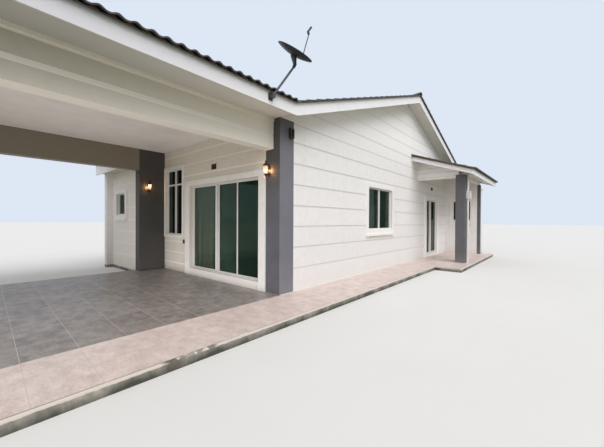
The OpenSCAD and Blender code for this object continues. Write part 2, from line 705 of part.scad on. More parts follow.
// White rainwater pipe behind the side porch column, with a hopper at its head
hopper_w = 130;
hopper_h = 270;
hopper_z = 2200;
module downpipe() color(white) {
    x = side_column_x + side_column_w + pipe_d / 2;
    y = side_beam_y + side_column_d / 2;
    top = side_soffit_z(x + pipe_d / 2);
    translate([x, y, floor_h]) cylinder(d = pipe_d, h = hopper_z + hopper_h / 2, $fn = 36);
    translate([x - pipe_d / 2, y - hopper_w / 2, floor_h + hopper_z])
        cube([hopper_w, hopper_w, hopper_h]);
    translate([x, y, floor_h + hopper_z + hopper_h / 2])
        cylinder(d = pipe_d, h = top - hopper_z - hopper_h / 2, $fn = 36);
}

// Louvred vent covers over both doorways, a switch box by the front one and a service bracket
vent_w = 190;
vent_h = 132;
vent_t = 12;
vent_edge = 12;
slat_step = 24;
slat_h = 14;
front_vent = [-2305, 2630];
side_vent = [side_middle - vent_w / 2, 2700];
switch_box = [[-3650, 790], [-3580, 890]];
bracket_box = [[245, 3030], [345, 3220]];
bracket_out = 60;
bracket_bar = 24;
module vent(at) translate(at) {
    area([[0, 0], [vent_w, vent_edge]]);
    for (z = [slat_step:slat_step:vent_h - slat_h]) area([[0, z], [vent_w, z + slat_h]]);
    for (x = [0, vent_w - vent_edge]) area([[x, 0], [x + vent_edge, vent_h]]);
}
module wall_fittings() color("dimgray") {
    along_y(-vent_t, 0) vent(front_vent);
    along_x(0, vent_t) vent(side_vent);
    along_y(-band_t, 0) area(switch_box);
    along_x(0, bracket_out) ring(bracket_box, bracket_bar);
}

ground_slab();
front_wall_left();
front_wall_lintel();
front_wall_right();
corner_column();
porch_pier();
side_wall_front();
side_wall_lintel();
side_wall_back();
side_gable_wall();
party_wall();
back_wall();
left_block_wall();
house_ceiling();
porch_beams();
porch_front_columns();
porch_ceiling();
porch_gable_wall();
main_roof();
porch_roof();
ridge_caps();
main_eave_boards();
porch_eave_boards();
block_eave_boards();
side_porch_roof();
side_porch_boards();
side_porch_beams();
side_porch_column();
wing_front_wall();
wing_corner_column();
wing_rear_walls();
wing_roof();
opening_bands();
door_kerbs();
window_frames();
fixed_glass();
door_frames();
fixed_lights();
front_leaf_frame();
front_leaf_glass();
side_leaf_frame();
side_leaf_glass();
wall_lamps();
lamp_glass();
satellite_dish();
downpipe();
wall_fittings();
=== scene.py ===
import json
import math

import bmesh
import bpy
from mathutils import Matrix, Vector

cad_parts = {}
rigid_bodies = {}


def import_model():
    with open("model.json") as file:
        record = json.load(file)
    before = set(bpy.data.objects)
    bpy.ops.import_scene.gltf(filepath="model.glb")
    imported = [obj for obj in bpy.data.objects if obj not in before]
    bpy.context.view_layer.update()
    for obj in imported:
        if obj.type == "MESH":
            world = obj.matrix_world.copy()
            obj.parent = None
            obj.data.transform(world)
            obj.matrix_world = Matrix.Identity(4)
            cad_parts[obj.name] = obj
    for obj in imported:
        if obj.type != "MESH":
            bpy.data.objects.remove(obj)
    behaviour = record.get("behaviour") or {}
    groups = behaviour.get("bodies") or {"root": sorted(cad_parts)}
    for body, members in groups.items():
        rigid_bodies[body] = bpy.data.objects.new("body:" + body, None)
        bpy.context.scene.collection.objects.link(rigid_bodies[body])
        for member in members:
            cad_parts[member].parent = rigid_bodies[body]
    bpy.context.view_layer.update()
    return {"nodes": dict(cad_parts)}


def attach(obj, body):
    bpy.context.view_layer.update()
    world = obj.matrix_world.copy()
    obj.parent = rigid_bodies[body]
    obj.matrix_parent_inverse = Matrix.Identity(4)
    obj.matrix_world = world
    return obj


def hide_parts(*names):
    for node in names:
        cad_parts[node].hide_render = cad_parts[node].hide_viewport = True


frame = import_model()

nodes = frame["nodes"]

# The view: a standing eye off the porch's open corner, looking in at the corner column.
# A plain pale floor and an even pale sky; a wide soft sun over the long side and a softer one in front,
# and level panels near the floor for the light that a pale floor throws up under the roofs.
scene = bpy.context.scene
scene.view_settings.view_transform = "Standard"

eye = bpy.data.objects.new("eye", bpy.data.cameras.new("eye"))
scene.collection.objects.link(eye)
eye.data.lens, eye.data.sensor_width = 17.72, 36.0
eye.data.clip_end = 500.0
eye_place = (4.009, -4.0, 1.51)
yaw, pitch, roll = (math.radians(a) for a in (40.742, -0.48, 0.299))
ahead = Vector((-math.sin(yaw), math.cos(yaw), 0))
aside = Vector((math.cos(yaw), math.sin(yaw), 0))
look = ahead * math.cos(pitch) + Vector((0, 0, math.sin(pitch)))
lift = Vector((0, 0, math.cos(pitch))) - ahead * math.sin(pitch)
right = aside * math.cos(roll) + lift * math.sin(roll)
up = lift * math.cos(roll) - aside * math.sin(roll)
eye.matrix_world = Matrix.Translation(eye_place) @ Matrix((right, up, -look)).transposed().to_4x4()
scene.camera = eye


class Wire:
    """A node's output that can stand in a Python sum; each sum adds Math nodes to its tree."""

    def __init__(self, tree, socket=None):
        self.tree, self.socket = tree, socket

    def node(self, kind, settings=None, values=None, out=0):
        """A node of that kind with its settings, its sockets' values or wires, and the output to use."""
        n = self.tree.nodes.new(kind)
        for key, value in (settings or {}).items():
            setattr(n, key, value)
        for key, value in (values or {}).items():
            if isinstance(value, Wire):
                self.tree.links.new(value.socket, n.inputs[key])
            else:
                n.inputs[key].default_value = value
        return Wire(self.tree, n.outputs[out] if n.outputs else None)

    def part(self, axis):
        """A vector's x, y or z (0, 1 or 2)."""
        return self.node("ShaderNodeSeparateXYZ", None, {0: self}, out=axis)

    def math(self, operation, *others):
        return self.node("ShaderNodeMath", {"operation": operation}, dict(enumerate((self, *others))))

    def back(self, operation, other):
        return self.node("ShaderNodeMath", {"operation": operation}, {0: other, 1: self})

    def __add__(self, other):
        return self.math("ADD", other)

    def __sub__(self, other):
        return self.math("SUBTRACT", other)

    def __mul__(self, other):
        return self.math("MULTIPLY", other)

    def __truediv__(self, other):
        return self.math("DIVIDE", other)

    def __radd__(self, other):
        return self.back("ADD", other)

    def __rsub__(self, other):
        return self.back("SUBTRACT", other)

    def __rmul__(self, other):
        return self.back("MULTIPLY", other)

    def __rtruediv__(self, other):
        return self.back("DIVIDE", other)


def colour(code):
    """A display colour, written as six hex digits, in linear light."""
    parts = [int(code[i:i + 2], 16) / 255 for i in (0, 2, 4)]
    return tuple(c / 12.92 if c <= 0.04045 else ((c + 0.055) / 1.055) ** 2.4 for c in parts)


class Finish:
    """A material on one Principled shader, with the sums that feed it."""

    def __init__(self, name, **constants):
        self.material = bpy.data.materials.new(name)
        self.material.use_nodes = True
        self.tree = self.material.node_tree
        self.shader = self.tree.nodes["Principled BSDF"]
        for key, value in constants.items():
            self.shader.inputs[key.replace("_", " ")].default_value = value
        self.start = Wire(self.tree)
        self.place = self.start.node("ShaderNodeTexCoord", out=3)

    def feed(self, **wires):
        for key, wire in wires.items():
            self.tree.links.new(wire.socket, self.shader.inputs[key.replace("_", " ")])

    def grain(self, scale, detail=4.0, stretch=(1, 1, 1), rough=0.55):
        """Noise from 0 to 1 whose blotches are about 1/scale metres across."""
        where = self.start.node("ShaderNodeMapping", None, {0: self.place, 3: stretch})
        return self.start.node("ShaderNodeTexNoise", None,
                               {"Vector": where, "Scale": scale, "Detail": detail, "Roughness": rough})

    def over(self, amount, low, high):
        """A mask that runs from 0 at low to 1 at high."""
        return self.start.node("ShaderNodeMapRange", None, {0: amount, 1: low, 2: high, 3: 0.0, 4: 1.0})

    def at(self, axis):
        """How far along x, y or z (0, 1 or 2) a point of the house lies, in metres."""
        return self.place.part(axis)

    def between(self, axis, low, high, soft=0.002):
        """A mask of what lies between two level planes across an axis."""
        return (self.over(self.at(axis), low - soft, low + soft)
                * self.over(self.at(axis), high + soft, high - soft))

    def mix(self, amount, a, b):
        """Colour a where the amount is 0 and b where it is 1; each is a wire or six hex digits."""
        a, b = ((*colour(side), 1) if isinstance(side, str) else side for side in (a, b))
        return self.start.node("ShaderNodeMix", {"data_type": "RGBA"}, {0: amount, 6: a, 7: b}, out=2)

    def coat(self, amount, a, b):
        """Feeds the base colour: a where the amount is 0 and b where it is 1."""
        self.body = self.mix(amount, a, b)
        self.feed(Base_Color=self.body)

    def tint(self, mask, over):
        """Turns the base colour towards another where the mask is 1."""
        self.coat(mask, self.body, over)

    def relief(self, height, depth, strength=1.0):
        """Feeds the normal from a height; depth is in metres."""
        self.feed(Normal=self.start.node("ShaderNodeBump", None,
                                         {"Height": height, "Distance": depth, "Strength": strength}))

    def put(self, *names):
        """Gives this finish to CAD nodes."""
        for name in names:
            data = nodes[name].data
            data.materials.clear()
            data.materials.append(self.material)


def plain(vertices, faces, name, finish=None):
    """A mesh object at the origin, from points in the house's own frame."""
    mesh = bpy.data.meshes.new(name)
    mesh.from_pydata([tuple(v) for v in vertices], [], faces)
    mesh.update()
    piece = bpy.data.objects.new(name, mesh)
    scene.collection.objects.link(piece)
    if finish:
        mesh.materials.append(finish.material)
    return piece


def looked_at(start):
    """1 for the rays that show a thing, straight or in metal and glass, and 0 for those that light others."""
    rays = [start.node("ShaderNodeLightPath", out=ray)
            for ray in ("Is Camera Ray", "Is Glossy Ray", "Is Transmission Ray")]
    return rays[0].math("MAXIMUM", rays[1]).math("MAXIMUM", rays[2])


ground_paint = Finish("pale_ground", Roughness=0.9)
ground_paint.coat(ground_paint.grain(0.6), "dcdbd9", "e3e2e0")
ground_paint.coat(looked_at(ground_paint.start), "84846f", ground_paint.body)
stage_half = 220.0
stage = plain([(x * stage_half, y * stage_half, 0) for x, y in ((-1, -1), (1, -1), (1, 1), (-1, 1))],
              [(0, 1, 2, 3)], "stage_floor", ground_paint)

sky = bpy.data.worlds.new("pale_sky")
scene.world = sky
sky.use_nodes = True
sky.node_tree.nodes.clear()
air = Wire(sky.node_tree)
lit = air.node("ShaderNodeBackground", None, {0: (0.95, 0.97, 1.0, 1), 1: 0.62})
shown = air.node("ShaderNodeBackground", None, {0: (0.73, 0.80, 0.91, 1), 1: 1.0})
both = air.node("ShaderNodeMixShader", None, {0: looked_at(air), 1: lit, 2: shown})
air.node("ShaderNodeOutputWorld", None, {0: both})


def light(name, kind, power, tint):
    lamp = bpy.data.objects.new(name, bpy.data.lights.new(name, kind))
    lamp.data.energy, lamp.data.color = power, tint
    scene.collection.objects.link(lamp)
    return lamp


def soft_sun(name, power, tint, spread, source):
    """A sun whose disc is spread degrees wide, in the direction of its source."""
    lamp = light(name, "SUN", power, tint)
    lamp.data.angle = math.radians(spread)
    lamp.rotation_euler = Vector(source).to_track_quat("Z", "Y").to_euler()


def bounce(name, power, tint, centre, size_x, size_y, height=0.13):
    """A level panel just above the floor that shines upwards and isn't seen itself."""
    lamp = light(name, "AREA", power, tint)
    lamp.data.shape, lamp.data.size, lamp.data.size_y = "RECTANGLE", size_x, size_y
    lamp.location, lamp.rotation_euler = (*centre, height), (math.pi, 0, 0)
    lamp.visible_camera = lamp.visible_glossy = lamp.visible_transmission = False


soft_sun("soft_sun", 2.05, (1.0, 0.985, 0.975), 50, (0.646, -0.215, 0.732))
soft_sun("front_fill", 1.05, (1.0, 0.97, 0.95), 70, (0.36, -0.93, 0.05))
bounce("porch_fill", 52.0, (1.0, 0.95, 0.92), (-2.54, -2.9), 4.5, 5.6)
bounce("apron_fill", 12.0, (1.0, 0.96, 0.94), (0.55, -3.0), 0.9, 5.9)
bounce("side_fill", 5.5, (1.0, 0.96, 0.9), (0.95, 8.9), 1.3, 3.6)

# The ground slab: one cast slab under the house, its porch, the apron and the side porch.
# Square ceramic tiles are bedded on it, greyer under the porch roof and pinker along the apron,
# and its bare edge is weathered where rain splashes it.
slab_paint = Finish("cast_slab", Roughness=0.85)
speckle = slab_paint.grain(22, 6)
slab_paint.coat(slab_paint.over(speckle, 0.35, 0.7), "948f87", "b5b0a6")
streak = slab_paint.grain(3.0, 4, (1, 1, 0.25))
moss = slab_paint.over(streak * 1.3 + (0.1 - slab_paint.at(2)) * 5.0, 0.62, 1.15)
slab_paint.tint(moss, "4a4a43")
stained = slab_paint.between(1, -2.68, -2.48, 0.04)
slab_paint.tint(stained * 0.7, "4c453e")
nosing = slab_paint.over(slab_paint.at(2) + (slab_paint.grain(14, 6) - 0.5) * 0.025, 0.084, 0.09)
chipped = slab_paint.between(1, -2.68, -2.08, 0.03) * slab_paint.over(slab_paint.grain(11, 5), 0.42, 0.5)
slab_paint.tint(nosing * (1.0 - chipped), "e0d5cc")
slab_paint.relief(speckle, 0.004, 0.6)
slab_paint.put("ground_slab")


class Grower(Wire):
    """A geometry tree: its named inputs, what it grows, and the plain mesh that it leaves."""

    def __init__(self, name, **inputs):
        tree = bpy.data.node_groups.new(name, "GeometryNodeTree")
        super().__init__(tree)
        self.ids, self.values = {}, inputs
        for key, value in inputs.items():
            kind = {int: "NodeSocketInt", float: "NodeSocketFloat"}.get(type(value), "NodeSocketMaterial")
            self.ids[key] = tree.interface.new_socket(key, in_out="INPUT", socket_type=kind).identifier
        tree.interface.new_socket("Geometry", in_out="OUTPUT", socket_type="NodeSocketGeometry")
        given = tree.nodes.new("NodeGroupInput")
        self.given = {key: Wire(tree, given.outputs[key]) for key in inputs}

    def vector(self, x=0.0, y=0.0, z=0.0):
        return self.node("ShaderNodeCombineXYZ", None, {0: x, 1: y, 2: z})

    def copies(self, points, one, **more):
        """One copy on each point."""
        return self.node("GeometryNodeInstanceOnPoints", None, {"Points": points, "Instance": one, **more})

    def toned(self, copies):
        """The same copies, each with a random tone of its own."""
        seed = self.given["Seed"]
        pick = self.node("FunctionNodeRandomValue", {"data_type": "FLOAT"}, {"Seed": seed}, out=1)
        return self.node("GeometryNodeStoreNamedAttribute", {"data_type": "FLOAT", "domain": "INSTANCE"},
                         {"Geometry": copies, "Name": "tone", "Value": pick})

    def finish(self, grown):
        """Ends the tree: instances made real, with the material given."""
        grown = self.node("GeometryNodeRealizeInstances", None, {0: grown})
        grown = self.node("GeometryNodeSetMaterial", None,
                          {"Geometry": grown, "Material": self.given["Material"]})
        self.node("NodeGroupOutput", None, {0: grown})

    def grow(self, name, place=Matrix(), **changes):
        """A plain mesh object from the tree, with its place moved into the mesh."""
        host = plain([], [], name + "_host")
        modifier = host.modifiers.new("grow", "NODES")
        modifier.node_group = self.tree
        for key, value in {**self.values, **changes}.items():
            modifier[self.ids[key]] = value
        bpy.context.view_layer.update()
        grown = host.evaluated_get(bpy.context.evaluated_depsgraph_get())
        mesh = bpy.data.meshes.new_from_object(grown)
        host.modifiers.clear()
        bpy.data.objects.remove(host)
        mesh.transform(place)
        mesh.name = name
        piece = bpy.data.objects.new(name, mesh)
        scene.collection.objects.link(piece)
        return piece


def joined(name, pieces):
    """One mesh object from several at the origin, with their materials and tones kept."""
    bm = bmesh.new()
    finishes = []
    for piece in pieces:
        for m in piece.data.materials:
            if m not in finishes:
                finishes.append(m)
    for piece in pieces:
        first = len(bm.faces)
        bm.from_mesh(piece.data)
        bm.faces.ensure_lookup_table()
        slots = [finishes.index(m) for m in piece.data.materials]
        for face in bm.faces[first:]:
            face.material_index = slots[face.material_index] if slots else 0
        bpy.data.objects.remove(piece)
    mesh = bpy.data.meshes.new(name)
    bm.to_mesh(mesh)
    bm.free()
    whole = bpy.data.objects.new(name, mesh)
    scene.collection.objects.link(whole)
    for m in finishes:
        mesh.materials.append(m)
    return whole


def tile_finish(name, dark, light, stain):
    """Glazed floor tiles, streaked, each with its own tone."""
    f = Finish(name, Roughness=0.42)
    tone = f.start.node("ShaderNodeAttribute", {"attribute_name": "tone"}, out=2)
    cloud, fine = f.grain(7.0, 7, (0.8, 1, 1), 0.68), f.grain(38, 5)
    f.coat(f.over(cloud + (tone - 0.5) * 0.08 + (fine - 0.5) * 0.6, 0.32, 0.68), dark, light)
    dust = f.over(f.grain(0.9, 3), 0.56, 0.8)
    f.tint(dust * 0.5, stain)
    f.feed(Roughness=f.over(fine, 0.2, 0.9) * 0.25 + 0.34)
    f.relief(fine, 0.001, 0.4)
    return f


porch_tile = tile_finish("porch_floor_tile", "6f6864", "9c948f", "b5aca7")
apron_tile = tile_finish("apron_floor_tile", "c6b3ac", "e2d3cc", "b7a9a2")
grout = Finish("grout", Roughness=0.9)
grout.coat(grout.grain(30, 5), "bdb4ae", "cfc6c0")
grout.relief(grout.grain(200, 3), 0.0005, 0.4)

tile_side, tile_joint = 0.479, 0.005
tile_field = Grower("floor_tiles", Columns=4, Rows=4, Side=tile_side, Joint=tile_joint, Thickness=0.004,
                    Seed=3, Material=porch_tile.material)
g = tile_field.given
glazed = g["Side"] - g["Joint"]
one = tile_field.node("GeometryNodeMeshCube", None,
                      {0: tile_field.vector(glazed, glazed, g["Thickness"]), 1: 2, 2: 2, 3: 2})
points = tile_field.node("GeometryNodeMeshGrid", None,
                         {0: g["Side"] * (g["Columns"] - 1.0), 1: g["Side"] * (g["Rows"] - 1.0),
                          2: g["Columns"], 3: g["Rows"]})
tile_field.finish(tile_field.toned(tile_field.copies(points, one)))

X, Y, Z = Vector((1, 0, 0)), Vector((0, 1, 0)), Vector((0, 0, 1))
floor_z, grout_t = 0.1, 0.0033
grid_x, grid_y = 0.045, -0.25
skew = math.radians(-2.4)
pivot = Matrix.Translation((grid_x, -2.9, 0))
laid = pivot @ Matrix.Rotation(skew, 4, "Z") @ pivot.inverted()


def plate(name, corners, thick, finish):
    """A closed plate on four corners, which run anticlockwise seen from its upper side."""
    normal = (corners[1] - corners[0]).cross(corners[2] - corners[1]).normalized()
    corners = corners + [c + normal * thick for c in corners]
    faces = [(3, 2, 1, 0), (4, 5, 6, 7), (0, 1, 5, 4), (1, 2, 6, 5), (2, 3, 7, 6), (3, 0, 4, 7)]
    return plain(corners, faces, name, finish)


def trimmed(piece, *cuts):
    """Saws a piece along planes, given as a point and the side that comes off, and closes what was cut."""
    bm = bmesh.new()
    bm.from_mesh(piece.data)
    for point, off in cuts:
        cut = bmesh.ops.bisect_plane(bm, geom=bm.verts[:] + bm.edges[:] + bm.faces[:], dist=1e-5,
                                     plane_co=point, plane_no=off, clear_outer=True)
        edges = [e for e in cut["geom_cut"]
                 if isinstance(e, bmesh.types.BMEdge) and e.is_valid and e.is_boundary]
        bmesh.ops.holes_fill(bm, edges=edges, sides=0)
    bm.to_mesh(piece.data)
    bm.free()
    return piece


def tiled(name, x0, x1, y0, y1, finish, seed):
    """Square tiles on one grid, sawn off at the field's four sides, with the grout between them."""
    (a, b), (c, d) = (((low - start) // tile_side - 2, 2 - ((start - high) // tile_side))
                      for low, high, start in ((x0, x1, grid_x), (y0, y1, grid_y)))
    middle = Vector((grid_x + (a + b) / 2 * tile_side, grid_y + (c + d) / 2 * tile_side, floor_z + 0.002))
    tiles = tile_field.grow(name, laid @ Matrix.Translation(middle), Columns=int(b - a), Rows=int(d - c),
                            Seed=seed, Material=finish.material)
    low, high = Vector((x0, y0, 0)), Vector((x1, y1, 0))
    trimmed(tiles, (low, -X), (low, -Y), (high, X), (high, Y))
    corners = [Vector((x, y, floor_z)) for x, y in ((x0, y0), (x1, y0), (x1, y1), (x0, y1))]
    return [tiles, plate(name + "_grout", corners, grout_t, grout)]


porch_x, porch_y = -5.04, -5.99
apron_start, apron_edge, side_porch_edge = 0.046, 1.055, 1.8
side_porch_y, wing_y, wing_x, strip_end = 5.75, 10.95, 1.31, 11.38
rooms = (-6.88, -0.21, 0.2, 11.84)
floor_tiles = joined("floor_tiles", [
    *tiled("t1", porch_x, grid_x, porch_y, 0, porch_tile, 3),
    *tiled("t2", apron_start, apron_edge, porch_y, side_porch_y, apron_tile, 4),
    *tiled("t3", apron_start, side_porch_edge, side_porch_y + 0.001, wing_y, apron_tile, 5),
    *tiled("t4", wing_x, side_porch_edge, wing_y + 0.001, strip_end, apron_tile, 5),
    *tiled("t5", *rooms, porch_tile, 6)])
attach(floor_tiles, "root")

# The walls and beams: brick and concrete, rendered and painted warm white, with wide grooves struck level
# in the wet coat and picked out in another white; on the long side wall they are painted darker as shade.
# Rain has left the paint a little grey low down and under the sills, and it shows lighter or darker
# from wall to wall. The beams are painted greyer as shade; other painted light and shade is marked below.


def wall_finish(name, flat, flat_light, groove, *grooves):
    """Painted render; each groove is one or more (axis, low, high) slices, and lies where they all meet.

    A struck groove is 8 mm deep, so a slice 5 to 11 mm inside the wall's face holds its floor.
    """
    f = Finish(name, Roughness=0.62)
    brushed, fine, broad = f.grain(7, 5), f.grain(120, 4), f.grain(0.7, 3, (1, 1, 0.4))
    f.coat(f.over(brushed, 0.3, 0.7), flat, flat_light)
    damp = f.over(broad * 0.5 - f.at(2) * 0.9, -0.18, 0.3)
    f.tint(damp * 0.35, "bdb4a8")
    rain = f.over(f.grain(2.2, 5, (1, 1, 0.12)), 0.6, 0.85)
    f.tint(rain * 0.12, "a8a49c")
    for first, *rest in grooves:
        inside = f.between(*first)
        for cut in rest:
            inside = inside * f.between(*cut)
        f.tint(inside, groove)
    f.relief(fine + brushed * 2.0, 0.0012, 0.5)
    return f


# The side wall's groove floors are painted darker than the wall: painted shade in the grooves.
side_paint = wall_finish("side_wall_paint", "e7e5e5", "eeecec", "dcd9d6", [(0, -0.011, -0.005)])
# Painted light: the side wall is painted lighter towards the gable, against the shade under its eaves.
high = side_paint.over(side_paint.at(2), 3.3, 4.2)
side_paint.tint(high * 0.7, "f9f8f8")
# Painted shade: a dark line where the wall meets the gable stands for a groove and the shade in it.
seam_shade = side_paint.between(0, -0.003, 0.003) * side_paint.between(2, 3.436, 3.458, 0.004)
side_paint.tint(seam_shade, "cdc9c4")
# The side wall is painted darker towards the bottom.
low = side_paint.over(side_paint.at(2), 1.6, 0.5)
side_paint.tint(low * 0.3, "cbc8c6")
side_paint.put("side_wall_front", "side_wall_lintel", "side_wall_back", "side_gable_wall", "party_wall",
               "back_wall", "wing_front_wall", "wing_rear_walls", "wing_roof", "porch_gable_wall")

front_paint = wall_finish("front_wall_paint", "dfd8cc", "e5dfd4", "f3f0ea", [(1, 0.005, 0.011)])
front_paint.put("front_wall_left", "front_wall_lintel", "front_wall_right")
block_out = 0.7
block_paint = wall_finish("block_wall_paint", "e8e2dc", "eee9e4", "f4f1ed",
                          [(1, 0.005 - block_out, 0.011 - block_out)])
block_paint.put("left_block_wall")

strip, lip = (2, 3.107, 3.174), (2, 3.405, 3.6)
long_face, end_face = (0, -0.19, 0.0), (1, -6.1, -5.8)
foot_band = [(2, 2.8, 2.902), (0, -0.5, 0.0)]
# Painted shade: the beams' body is greyer than the walls; their strips, lip and foot are white.
beam_paint = wall_finish("beam_paint", "c3beb2", "c9c4b9", "f3eee7", [long_face, strip], [long_face, lip],
                         [end_face, strip], [end_face, lip], foot_band)
# Painted light: the long beam is painted lighter towards the corner column, except on its strips.
painted_corner_light = beam_paint.over(beam_paint.at(1), -3.9, -0.2)
raised = beam_paint.between(*strip).math("MAXIMUM", beam_paint.between(*lip))
beam_paint.tint(painted_corner_light * (1.0 - raised), "eee9e0")
# Painted light: the beams' undersides are painted lighter, for the light thrown up from the floor.
underside_light_paint = beam_paint.between(2, 2.78, 2.804)
beam_paint.tint(underside_light_paint, "fffaf7")
# Painted shade: the far beam on the party side is painted dark.
far_beam_shade = beam_paint.between(0, -5.3, -4.5)
beam_paint.tint(far_beam_shade, "81796b")
beam_paint.put("porch_beams")
small_beam_paint = wall_finish("small_beam_paint", "e7e5e5", "eeecec", "b9b4ae",
                               *([(2, z, z + 0.012)] for z in (3.1, 3.27, 3.44)))
small_beam_paint.put("side_porch_beams")

# The plaster bands round the openings: trowelled flat on the render, a finger proud of the wall,
# and painted a cleaner white.
band_paint = Finish("band_paint", Roughness=0.55)
trowel = band_paint.grain(9, 5)
band_paint.coat(band_paint.over(trowel, 0.3, 0.7), "ebe8e4", "f2f0ed")
band_paint.tint(band_paint.over(band_paint.grain(3, 5), 0.6, 0.85) * 0.3, "c4beb5")
band_paint.relief(trowel, 0.0012, 0.4)
band_paint.put("opening_bands")

# Columns and the pier: cast concrete under rough render, rolled a dark grey that catches dust
# and scuffs near the floor. Shade is painted on the pier, the columns under the side porch roof, the corner
# column's front and the top of its garden face; the rest of that garden face is painted lighter as its light.
column_paint = Finish("column_paint", Roughness=0.7)
coarse, patch = column_paint.grain(60, 5), column_paint.grain(1.7, 4)
column_paint.coat(column_paint.over(patch, 0.3, 0.75), "5a5a60", "6b6b72")
column_paint.tint(column_paint.over(coarse, 0.55, 0.8) * 0.4, "7b7b82")
scuffed = column_paint.over(patch * 0.4 - column_paint.at(2) * 1.2, -0.3, 0.1)
column_paint.tint(scuffed * 0.3, "8f8b86")
# Painted shade: the pier's face towards the porch is painted darker.
pier_side_shade = column_paint.between(0, -4.79, -4.77)
column_paint.tint(pier_side_shade * 0.8, "464442")
# Painted shade: the pier, and a little the columns under the side porch roof, are painted darker.
pier = column_paint.over(column_paint.at(0), -4.6, -4.7) * column_paint.over(column_paint.at(1), -1.1, -1.0)
back_column_shade = column_paint.over(column_paint.at(1), 6.0, 6.2)
column_paint.tint(pier.math("MAXIMUM", back_column_shade * 0.3), "474544")
# Painted light: the corner column's garden face is painted lighter.
outer_side = column_paint.between(0, -0.002, 0.004)
column_paint.tint(outer_side * 0.3, "8a8a93")
# Painted shade: the corner column's front darkens upwards from the lamp, and its garden face under the eave.
shade_above_lamp, near_eave = (column_paint.over(column_paint.at(2), *span) for span in ((1.95, 2.65), (2.95, 3.35)))
column_shade = column_paint.between(1, -0.004, 0.002) * (shade_above_lamp * 0.9 + 0.1)
column_paint.tint(column_shade.math("MAXIMUM", outer_side * near_eave * 0.8) * 0.8, "3f3e3c")
column_paint.relief(coarse, 0.003, 0.7)
column_paint.put("corner_column", "porch_pier", "porch_front_columns", "side_porch_column",
                 "wing_corner_column")

# The kerbs under the doors: cement upstands cast on the slab, painted with the walls
# and worn through along their tops.
kerb_paint = Finish("kerb_paint", Roughness=0.75)
wear = kerb_paint.grain(9, 6)
kerb_paint.coat(kerb_paint.over(wear, 0.62, 0.85) * 0.6, "e6e1dc", "b9b0a6")
kerb_paint.relief(wear, 0.002, 0.5)
kerb_paint.put("door_kerbs")

# Boards: timber fascia and barge boards nailed to the rafter ends, with fibre-cement soffits behind them,
# all brushed white. The soffits, and the boards towards the porch's front, are painted greyer as shade.
board_paint = Finish("board_paint", Roughness=0.5)
strokes = board_paint.grain(3.2, 5, (1, 1, 8))
board_paint.coat(board_paint.over(strokes, 0.3, 0.7), "edecf0", "f5f4f7")
grime = board_paint.over(board_paint.grain(1.1, 5), 0.55, 0.85)
board_paint.tint(grime * 0.25, "b4b0a8")
# Painted shade: the boards are painted greyer towards the front, along the porch's long fascia.
shade = board_paint.over(board_paint.at(1), -0.1, -3.8)
board_paint.tint(shade * 0.95, "d2d2da")
# Painted shade: the downward faces are painted greyer, most under the porch's long eave.
facing = board_paint.start.node("ShaderNodeTexCoord", out=1)
underside = board_paint.over(facing.part(2), -0.75, -0.9)
soffit = board_paint.mix(board_paint.over(board_paint.at(1), 0.3, 0.8), "cfcabf", "e6e3dd")
board_paint.tint(underside, soffit)
board_paint.relief(strokes, 0.001, 0.5)
board_paint.put("main_eave_boards", "porch_eave_boards", "block_eave_boards", "side_porch_boards")

# Ceilings: flat fibre-cement sheets screwed to battens, filled at the joints and rolled white.
# The porch's sheets run on as the soffit under its long eave, painted greyer there as shade, most at the
# front.
ceiling_paint = Finish("ceiling_paint", Roughness=0.6)
rolled = ceiling_paint.grain(2.4, 5)
ceiling_paint.coat(ceiling_paint.over(rolled, 0.3, 0.7), "e2dedb", "ece8e5")
ceiling_paint.tint(ceiling_paint.over(ceiling_paint.grain(0.8, 5), 0.55, 0.8) * 0.3, "bfb7ae")
# Painted shade: the soffit strip is painted greyer towards the front of the porch.
soffit = ceiling_paint.mix(ceiling_paint.over(ceiling_paint.at(1), -0.7, -3.2), "dad8d2", "bdbebb")
ceiling_paint.tint(ceiling_paint.between(0, -0.2, 0.5), soffit)
ceiling_paint.relief(ceiling_paint.grain(90, 3), 0.0006, 0.4)
ceiling_paint.put("house_ceiling", "porch_ceiling")

# Roof tiles: dark grey interlocking roll tiles in courses on a felted deck, each a shell of one
# thickness, laid up the slope so that every course laps the one below.
roof_tile = Finish("roof_tile", Roughness=0.6)
tone = roof_tile.start.node("ShaderNodeAttribute", {"attribute_name": "tone"}, out=2)
mottled = roof_tile.grain(9, 6)
roof_tile.coat(roof_tile.over(tone * 0.7 + mottled * 0.6, 0.25, 1.05), "3a3a39", "625f5a")
lichen = roof_tile.over(roof_tile.grain(3.4, 7), 0.58, 0.74)
roof_tile.tint(lichen * 0.55, "85847d")
roof_tile.feed(Roughness=roof_tile.over(mottled, 0.2, 0.8) * 0.3 + 0.42)
roof_tile.relief(roof_tile.grain(70, 4), 0.002, 0.5)

roll_pitch, gauge, shell = 0.175, 0.32, 0.017
deck_t, deck_gap = 0.004, 0.003
roof_field = Grower("roll_tiles", Rolls=4, Courses=4, Pitch=roll_pitch, Gauge=gauge, Lap=0.05,
                    Thickness=shell, Crown=0.027, Seed=7, Material=roof_tile.material)
g = roof_field.given
size = roof_field.vector(g["Pitch"], g["Gauge"] + g["Lap"], g["Thickness"])
one = roof_field.node("GeometryNodeMeshCube", None, {0: size, 1: 9, 2: 2, 3: 2})
at = roof_field.node("GeometryNodeInputPosition")
roll_share = 0.46
wave = (at.part(0) / g["Pitch"] * (math.pi / roll_share)).math("MAXIMUM", -math.pi).math("MINIMUM", math.pi)
crown = (wave.math("COSINE") * 0.5 + 0.5) * g["Crown"]
tilt = (g["Gauge"] * 0.5 - at.part(1)) * (g["Thickness"] / g["Gauge"])
one = roof_field.node("GeometryNodeSetPosition", None,
                      {"Geometry": one, "Offset": roof_field.vector(z=crown + tilt)})
